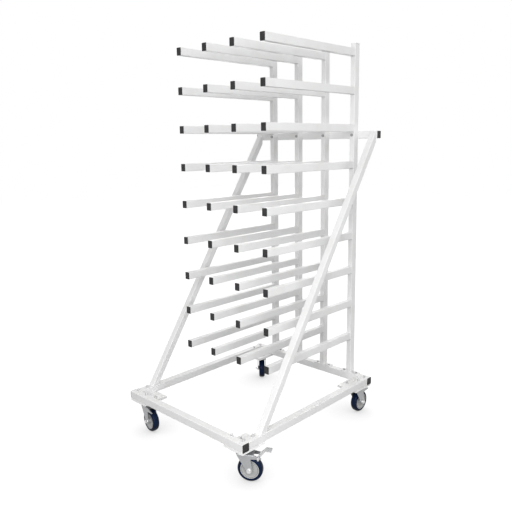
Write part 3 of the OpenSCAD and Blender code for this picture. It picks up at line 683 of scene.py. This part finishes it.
def bead_tree():
    """A weld bead along each edge path of a mesh, with ripples of even pitch."""
    g, first, last = geometry_tree("Weld bead", [
        ("Bead radius", "NodeSocketFloat", 0.0018),
        ("Ripple spacing", "NodeSocketFloat", 0.004),
        ("Ripple depth", "NodeSocketFloat", RIPPLE_DEPTH),
        ("Seed", "NodeSocketInt", BEAD_SEED)])
    given = first.outputs
    paths = add_node(g, "GeometryNodeMeshToCurve", (-800, 100), Mesh=given["Geometry"])
    even = add_node(g, "GeometryNodeResampleCurve", (-600, 100), Curve=paths.outputs[0])
    even.mode = "LENGTH"
    step = math_node(g, "MULTIPLY", (-800, -100), given["Ripple spacing"], BEAD_STEP)
    feed(g, step, even.inputs["Length"])
    along = add_node(g, "GeometryNodeSplineParameter", (-800, -300))
    turns = math_node(g, "DIVIDE", (-600, -300), along.outputs["Length"], given["Ripple spacing"])
    wave = math_node(g, "SINE", (-400, -300), math_node(g, "MULTIPLY", (-500, -300), turns, 2 * math.pi))
    random = add_node(g, "FunctionNodeRandomValue", (-600, -500))
    random.data_type = "FLOAT"
    feed(g, given["Seed"], random.inputs["Seed"])
    uneven = math_node(g, "ADD", (-300, -300), wave, random.outputs[1])
    ripples = math_node(g, "MULTIPLY", (-200, -300), uneven, given["Ripple depth"])
    swell = math_node(g, "ADD", (-100, -300), ripples, BEAD_SWELL)
    ring = add_node(g, "GeometryNodeCurvePrimitiveCircle", (-100, -100), Resolution=BEAD_SIDES,
                    Radius=given["Bead radius"])
    skin = add_node(g, "GeometryNodeCurveToMesh", (150, 0), Curve=even.outputs[0],
                    Profile_Curve=ring.outputs["Curve"], Scale=swell, Fill_Caps=True)
    close_tree(g, skin.outputs[0], first, last)
    return g


def path_mesh(name, paths):
    """A mesh of edge paths: (points, closed)."""
    bm = bmesh.new()
    for points, closed in paths:
        verts = [bm.verts.new(p) for p in points]
        for a, b in zip(verts, verts[1:]):
            bm.edges.new((a, b))
        if closed:
            bm.edges.new((verts[-1], verts[0]))
    mesh = bpy.data.meshes.new(name)
    bm.to_mesh(mesh)
    bm.free()
    return mesh


def arm_paths(column, s):
    """The loops where a column's arms meet their upright."""
    lo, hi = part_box("arms_%d" % column)
    centre = (lo + hi) / 2
    pitch = (hi.z - lo.z - s.arm_height) / (s.arm_rows - 1)
    loop = rounded_loop(hi.x - lo.x, s.arm_height, s.corner_radius)
    return [([(centre.x + u, hi.y, lo.z + s.arm_height / 2 + k * pitch + v) for u, v in loop], True)
            for k in range(s.arm_rows)]


def foot_path(column, s):
    """The loop where an upright meets its foot plate."""
    lo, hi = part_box("upright_%d" % column)
    centre = (lo + hi) / 2
    loop = rounded_loop(hi.x - lo.x, hi.y - lo.y, s.corner_radius)
    return [(centre.x + u, centre.y + v, lo.z) for u, v in loop], True


def base_paths(s):
    """The loops at the side tubes' ends, and the corner plates' inner edges."""
    paths = []
    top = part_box("corner_plates")[1].z
    for side, away in (("left", 1), ("right", -1)):
        lo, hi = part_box("base_%s_tube" % side)
        centre = (lo + hi) / 2
        loop = rounded_loop(hi.x - lo.x, hi.z - lo.z, s.corner_radius)
        inner = hi.x if side == "left" else lo.x
        for y, toward in ((lo.y, 1), (hi.y, -1)):
            paths.append(([(centre.x + u, y, centre.z + v) for u, v in loop], True))
            paths.append(([(inner + away * PLATE_ACROSS, y, top), (inner + away * PLATE_CUT, y, top),
                           (inner, y + toward * PLATE_CUT, top), (inner, y + toward * PLATE_ALONG, top)],
                          False))
    return paths


class RACK_OT_welds(bpy.types.Operator):
    """Welds the arms, uprights, base tubes and corner plates with rippled beads"""
    bl_idname = "rack.welds"
    bl_label = "Weld the joints"

    def execute(self, context):
        s = context.scene.rack_welds
        values = {"Bead radius": s.radius, "Ripple spacing": s.ripple, "Ripple depth": RIPPLE_DEPTH,
                  "Seed": BEAD_SEED}
        tree = bead_tree()
        coat = bpy.data.materials["White powder coat"]
        beads = {"arm_welds_%d" % c: arm_paths(c, s) for c in COLUMNS}
        beads["foot_welds"] = [foot_path(c, s) for c in COLUMNS]
        beads["base_welds"] = base_paths(s)
        for name, paths in beads.items():
            grow(name, path_mesh(name + "_paths", paths), tree, values, coat, "frame")
        return {"FINISHED"}


def thread_tree():
    """A turned helix on each point of a mesh, for the ends of bolts."""
    g, first, last = geometry_tree("Bolt thread", [
        ("Bolt radius", "NodeSocketFloat", 0.004),
        ("Pitch", "NodeSocketFloat", 0.00125),
        ("Length", "NodeSocketFloat", 0.005),
        ("Rotation", "NodeSocketVector", (0.0, 0.0, 0.0))])
    given = first.outputs
    turns = math_node(g, "DIVIDE", (-900, -100), given["Length"], given["Pitch"])
    helix = add_node(g, "GeometryNodeCurveSpiral", (-700, -100), Resolution=HELIX_STEPS, Rotations=turns,
                     Start_Radius=given["Bolt radius"], End_Radius=given["Bolt radius"],
                     Height=given["Length"])
    ridge = add_node(g, "GeometryNodeCurvePrimitiveCircle", (-700, -400), Resolution=RIDGE_SIDES,
                     Radius=math_node(g, "MULTIPLY", (-900, -400), given["Pitch"], RIDGE))
    skin = add_node(g, "GeometryNodeCurveToMesh", (-400, -200), Curve=helix.outputs[0],
                    Profile_Curve=ridge.outputs["Curve"], Fill_Caps=True)
    spread = add_node(g, "GeometryNodeInstanceOnPoints", (0, 0), Points=given["Geometry"],
                      Instance=skin.outputs[0], Rotation=given["Rotation"])
    close_tree(g, spread.outputs[0], first, last)
    return g


def islands(node):
    """Boxes of a CAD node's separate solids: (low corner, high corner) pairs."""
    bm = bmesh.new()
    bm.from_mesh(node.data)
    bmesh.ops.remove_doubles(bm, verts=bm.verts, dist=1e-6)
    seen, found = set(), []
    for v in bm.verts:
        if v in seen:
            continue
        stack, group = [v], []
        seen.add(v)
        while stack:
            w = stack.pop()
            group.append(w.co.copy())
            for e in w.link_edges:
                o = e.other_vert(w)
                if o not in seen:
                    seen.add(o)
                    stack.append(o)
        found.append((Vector(map(min, zip(*group))), Vector(map(max, zip(*group)))))
    bm.free()
    return found


class RACK_OT_threads(bpy.types.Operator):
    """Cuts a thread on the bolt ends that stand out of their nuts"""
    bl_idname = "rack.threads"
    bl_label = "Thread the bolts"

    def execute(self, context):
        s = context.scene.rack_threads
        tree = thread_tree()
        common = {"Bolt radius": s.bolt_radius - RIDGE * s.pitch, "Pitch": s.pitch,
                  "Length": s.tail - s.pitch}
        for bolt, axis, turn, material in (
                ("caster_bolt", 2, (0.0, 0.0, 0.0), "Bright plated fastener"),
                ("crossbar_bolt", 1, (-math.pi / 2, 0.0, 0.0), "Dulled plated fastener")):
            ends = []
            for lo, hi in islands(NODES[bolt + "s"]):
                end = (lo + hi) / 2
                end[axis] = hi[axis] - s.tail + s.pitch * THREAD_START
                ends.append(end)
            mesh = bpy.data.meshes.new(bolt + "_ends")
            mesh.from_pydata(ends, [], [])
            grow(bolt + "_threads", mesh, tree, dict(common, Rotation=turn), bpy.data.materials[material],
                 "frame")
        return {"FINISHED"}


def joint_of(name):
    """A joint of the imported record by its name."""
    for j in frame["joints"]:
        if j["name"] == name:
            return j
    raise RuntimeError("there is no joint " + name)


def caster_matrix(corner):
    """The caster's own space: swivel axis at the origin, trail along +X."""
    swivel = Vector(joint_of("swivel_%s_turn" % corner)["pos_m"])
    wheel = Vector(joint_of("wheel_%s_roll" % corner)["pos_m"])
    along = Vector((wheel.x - swivel.x, wheel.y - swivel.y, 0)).normalized()
    side = Vector((0, 0, 1)).cross(along)
    turn = Matrix((along, side, Vector((0, 0, 1)))).transposed().to_4x4()
    return Matrix.Translation((swivel.x, swivel.y, 0)) @ turn


def wheel_matrix(corner):
    """The wheel's own space: axle at the origin, along Y."""
    m = caster_matrix(corner)
    m.translation = Vector(joint_of("wheel_%s_roll" % corner)["pos_m"])
    return m


def revolve(bm, section, turns):
    """Turns a closed section of (radius, offset) points round the Y axis."""
    rings = []
    for k in range(turns):
        t = 2 * math.pi * k / turns
        rings.append([bm.verts.new((r * math.cos(t), w, r * math.sin(t))) for r, w in section])
    n = len(section)
    for a, b in zip(rings, rings[1:] + rings[:1]):
        for i in range(n):
            bm.faces.new((a[i], a[(i + 1) % n], b[(i + 1) % n], b[i]))


def turned_piece(name, sections, turns, corner, material):
    """A piece of turned rings on a wheel."""
    bm = bmesh.new()
    for section in sections:
        revolve(bm, section, turns)
    bmesh.ops.recalc_face_normals(bm, faces=bm.faces)
    mesh = smooth_mesh(bm, name, wheel_matrix(corner))
    return add_piece(name, mesh, bpy.data.materials[material], "wheel_" + corner)


def tyre_section(radius, s):
    """Section of a tyre: moulded lips, rounded shoulders, and a parting line round the tread."""
    half, inner = s.tread_width / 2, radius - s.tyre_thickness
    crown = radius - CROWN_DROP
    side = [(inner + out, half - back) for out, back in TYRE_LIP]
    for k in range(SHOULDER_STEPS + 1):
        t = math.radians(90 * k / SHOULDER_STEPS)
        side.append((crown - s.shoulder * (1 - math.sin(t)), half - s.shoulder * (1 - math.cos(t))))
    side += [(radius - drop, w) for drop, w in PARTING_LINE]
    return side + [(r, -w) for r, w in reversed(side)]


class RACK_OT_wheels(bpy.types.Operator):
    """Moulds the tyres' shoulders and parting lines, and turns the cores' lips, which carry a painted highlight,
    and dark rings of painted shade in their grooves
    """
    bl_idname = "rack.wheels"
    bl_label = "Dress the wheels"

    def execute(self, context):
        s = context.scene.rack_wheels
        for corner in CORNERS:
            lo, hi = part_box("tyre_" + corner)
            radius = (hi.z - lo.z) / 2
            tyre = turned_piece("moulded_tyre_" + corner, [tyre_section(radius, s)], s.turns, corner,
                                "Navy elastic tread")
            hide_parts("tyre_" + corner)
            edge, face = radius - s.tyre_thickness, s.core_width / 2
            outer, inner = edge - LIP_GAP, edge - s.lip
            lip = ((outer, -RING_ROOT), (outer, LIP_EDGE), (outer - LIP_BEVEL, LIP_RISE),
                   (inner + LIP_BEVEL, LIP_RISE), (inner, LIP_FOOT), (inner, -RING_ROOT))
            # A thin dark ring of painted shade, raised just off the core's face inside the lip
            outer = inner - SHADE_RING_GAP
            shade_ring = ((outer, -RING_ROOT), (outer, SHADE_RING_RISE),
                    (outer - SHADE_RING_WIDTH, SHADE_RING_RISE), (outer - SHADE_RING_WIDTH, -RING_ROOT))
            # The lip ring carries a painted highlight, the ring inside it painted shade
            for ring, section, material in (("rim_lips_", lip, "Polished core lip"),
                                            ("rim_dirt_", shade_ring, "Rolled-in dirt")):
                both = [[(r, side * (face + rise)) for r, rise in section] for side in (1, -1)]
                turned_piece(ring + corner, both, s.turns, corner, material)
        return {"FINISHED"}


def bar(bm, low, high, bevel):
    """A bar between two corners, with its edges rounded."""
    made = bmesh.ops.create_cube(bm, size=1.0)["verts"]
    size = [h - l for l, h in zip(low, high)]
    centre = [(h + l) / 2 for l, h in zip(low, high)]
    for v in made:
        v.co = Vector([c * s + m for c, s, m in zip(v.co, size, centre)])
    edges = list({e for v in made for e in v.link_edges})
    bmesh.ops.bevel(bm, geom=edges, offset=bevel, segments=2, profile=0.5, affect="EDGES")


class RACK_OT_pedals(bpy.types.Operator):
    """Raises grip ribs across the tread plates of the brake pedals"""
    bl_idname = "rack.pedals"
    bl_label = "Rib the pedals"

    def execute(self, context):
        zinc = bpy.data.materials["Zinc plated pedal"]
        for corner in BRAKED:
            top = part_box("brake_pedal_" + corner)[1].z
            bm = bmesh.new()
            for x in RIB_STARTS:
                bar(bm, (x, -RIB_HALF_LENGTH, top - RIB_SINK),
                    (x + RIB_WIDTH, RIB_HALF_LENGTH, top + RIB_RISE), RIB_BEVEL)
            mesh = smooth_mesh(bm, "pedal_ribs", caster_matrix(corner))
            add_piece("pedal_ribs_" + corner, mesh, zinc, "pedal_" + corner)
        return {"FINISHED"}


def seen_directly(tree):
    """1 for camera, glossy and transmitted rays, 0 for the diffuse light on the rack."""
    path = add_node(tree, "ShaderNodeLightPath", (-700, 200)).outputs
    bent = math_node(tree, "MAXIMUM", (-500, 200), path["Is Glossy Ray"], path["Is Transmission Ray"])
    return math_node(tree, "MAXIMUM", (-300, 200), path["Is Camera Ray"], bent)


def floor_material(s):
    """White with a soft shadow to the camera, dark and matt to the rack."""
    m = bpy.data.materials.new("Studio floor")
    t = clear_nodes(m)
    matt = add_node(t, "ShaderNodeBsdfDiffuse", (-200, -100), Color=(s.floor_level,) * 3)
    pale = add_node(t, "ShaderNodeBsdfDiffuse", (-200, -300), Color=(PALE_FLOOR,) * 3)
    shade = add_node(t, "ShaderNodeAmbientOcclusion", (-700, -50), Distance=s.shadow_reach)
    shade.samples = SHADE_SAMPLES
    level = map_range(t, (-450, -50), shade.outputs["AO"], (0.0, 1.0), (1.0 - s.shadow_depth, OPEN_GLOW))
    glow = add_node(t, "ShaderNodeEmission", (-200, 0), Strength=level)
    white = mix_shader(t, (0, -100), PALE_SHARE, glow, pale)
    both = mix_shader(t, (200, 0), seen_directly(t), matt, white)
    add_node(t, "ShaderNodeOutputMaterial", (400, 0), Surface=both.outputs[0])
    return m


def lay_floor(scene, s):
    """A wide floor just under the treads."""
    mesh = bpy.data.meshes.new("studio_floor")
    corners = ((-1, -1), (1, -1), (1, 1), (-1, 1))
    mesh.from_pydata([(x * FLOOR_HALF, y * FLOOR_HALF, 0) for x, y in corners], [], [(0, 1, 2, 3)])
    floor = bpy.data.objects.new("studio_floor", mesh)
    floor.location.z = -FLOOR_DROP
    scene.collection.objects.link(floor)
    mesh.materials.append(floor_material(s))


def set_room(scene, s):
    """White to the camera, and an even light of the room's level to the rack."""
    scene.world = bpy.data.worlds.new("Studio room")
    t = clear_nodes(scene.world)
    level = map_range(t, (-100, 200), seen_directly(t), (0.0, 1.0), (s.room_level, 1.0))
    sky = add_node(t, "ShaderNodeBackground", (100, 0), Color=(1.0, 1.0, 1.0), Strength=level)
    add_node(t, "ShaderNodeOutputWorld", (300, 0), Surface=sky.outputs[0])


def hang_lamp(scene, name, power, width, spot, target):
    """A soft square lamp aimed at a target, which the camera doesn't see."""
    data = bpy.data.lights.new(name, "AREA")
    data.shape = "RECTANGLE"
    data.size = data.size_y = width
    data.energy = power
    lamp = bpy.data.objects.new(name, data)
    scene.collection.objects.link(lamp)
    lamp.location = spot
    lamp.rotation_euler = (Vector(target) - Vector(spot)).to_track_quat("-Z", "Y").to_euler()
    lamp.visible_camera = False


def set_camera(scene, s):
    """The photograph's camera, from its place, heading, tilt and roll."""
    data = bpy.data.cameras.new("photo_camera")
    data.sensor_width = SENSOR_WIDTH
    data.lens = s.lens
    data.shift_x, data.shift_y = LENS_SHIFT
    data.clip_start, data.clip_end = CLIP
    camera = bpy.data.objects.new("photo_camera", data)
    scene.collection.objects.link(camera)
    scene.camera = camera
    forward = Vector((-math.sin(s.heading) * math.cos(s.tilt), math.cos(s.heading) * math.cos(s.tilt),
                      math.sin(s.tilt)))
    right = Vector((math.cos(s.heading), math.sin(s.heading), 0))
    up = right.cross(forward)
    r = right * math.cos(s.roll) + up * math.sin(s.roll)
    u = up * math.cos(s.roll) - right * math.sin(s.roll)
    turn = Matrix((r, u, -forward)).transposed().to_4x4()
    camera.matrix_world = Matrix.Translation(s.camera_place) @ turn


class RACK_OT_studio(bpy.types.Operator):
    """Sets the floor, the room's light, the lamps and the camera"""
    bl_idname = "rack.studio"
    bl_label = "Set the studio"

    def execute(self, context):
        scene = context.scene
        s = scene.rack_studio
        scene.view_settings.view_transform = "Standard"
        lay_floor(scene, s)
        set_room(scene, s)
        for name, setting, width, spot, target in LAMPS:
            hang_lamp(scene, name, getattr(s, setting), width, spot, target)
        set_camera(scene, s)
        return {"FINISHED"}


class RACK_PT_sidebar(bpy.types.Panel):
    """Lists the steps that dress the rack"""
    bl_idname = "RACK_PT_sidebar"
    bl_label = "Roll Rack"
    bl_space_type = "VIEW_3D"
    bl_region_type = "UI"
    bl_category = "Roll Rack"

    def draw(self, context):
        column = self.layout.column()
        for group in SETTINGS:
            settings = getattr(context.scene, group)
            box = column.box()
            for key in settings.bl_rna.properties.keys():
                if key not in {"rna_type", "name"}:
                    box.prop(settings, key)
        for step in STEPS:
            column.operator(step.bl_idname)


SETTINGS = {"rack_coat": RackCoat, "rack_trim": RackTrim, "rack_welds": RackWelds,
            "rack_threads": RackThreads, "rack_wheels": RackWheels, "rack_studio": RackStudio}
STEPS = (RACK_OT_finishes, RACK_OT_welds, RACK_OT_threads, RACK_OT_wheels, RACK_OT_pedals, RACK_OT_studio)
CLASSES = tuple(SETTINGS.values()) + STEPS + (RACK_PT_sidebar,)


def register():
    for c in CLASSES:
        bpy.utils.register_class(c)
    for name, group in SETTINGS.items():
        setattr(bpy.types.Scene, name, PointerProperty(type=group))


def unregister():
    for name in SETTINGS:
        delattr(bpy.types.Scene, name)
    for c in reversed(CLASSES):
        bpy.utils.unregister_class(c)


def main():
    register()
    bpy.ops.rack.finishes()
    bpy.ops.rack.welds()
    bpy.ops.rack.threads()
    bpy.ops.rack.wheels()
    bpy.ops.rack.pedals()
    bpy.ops.rack.studio()


if __name__ == "__main__":
    main()
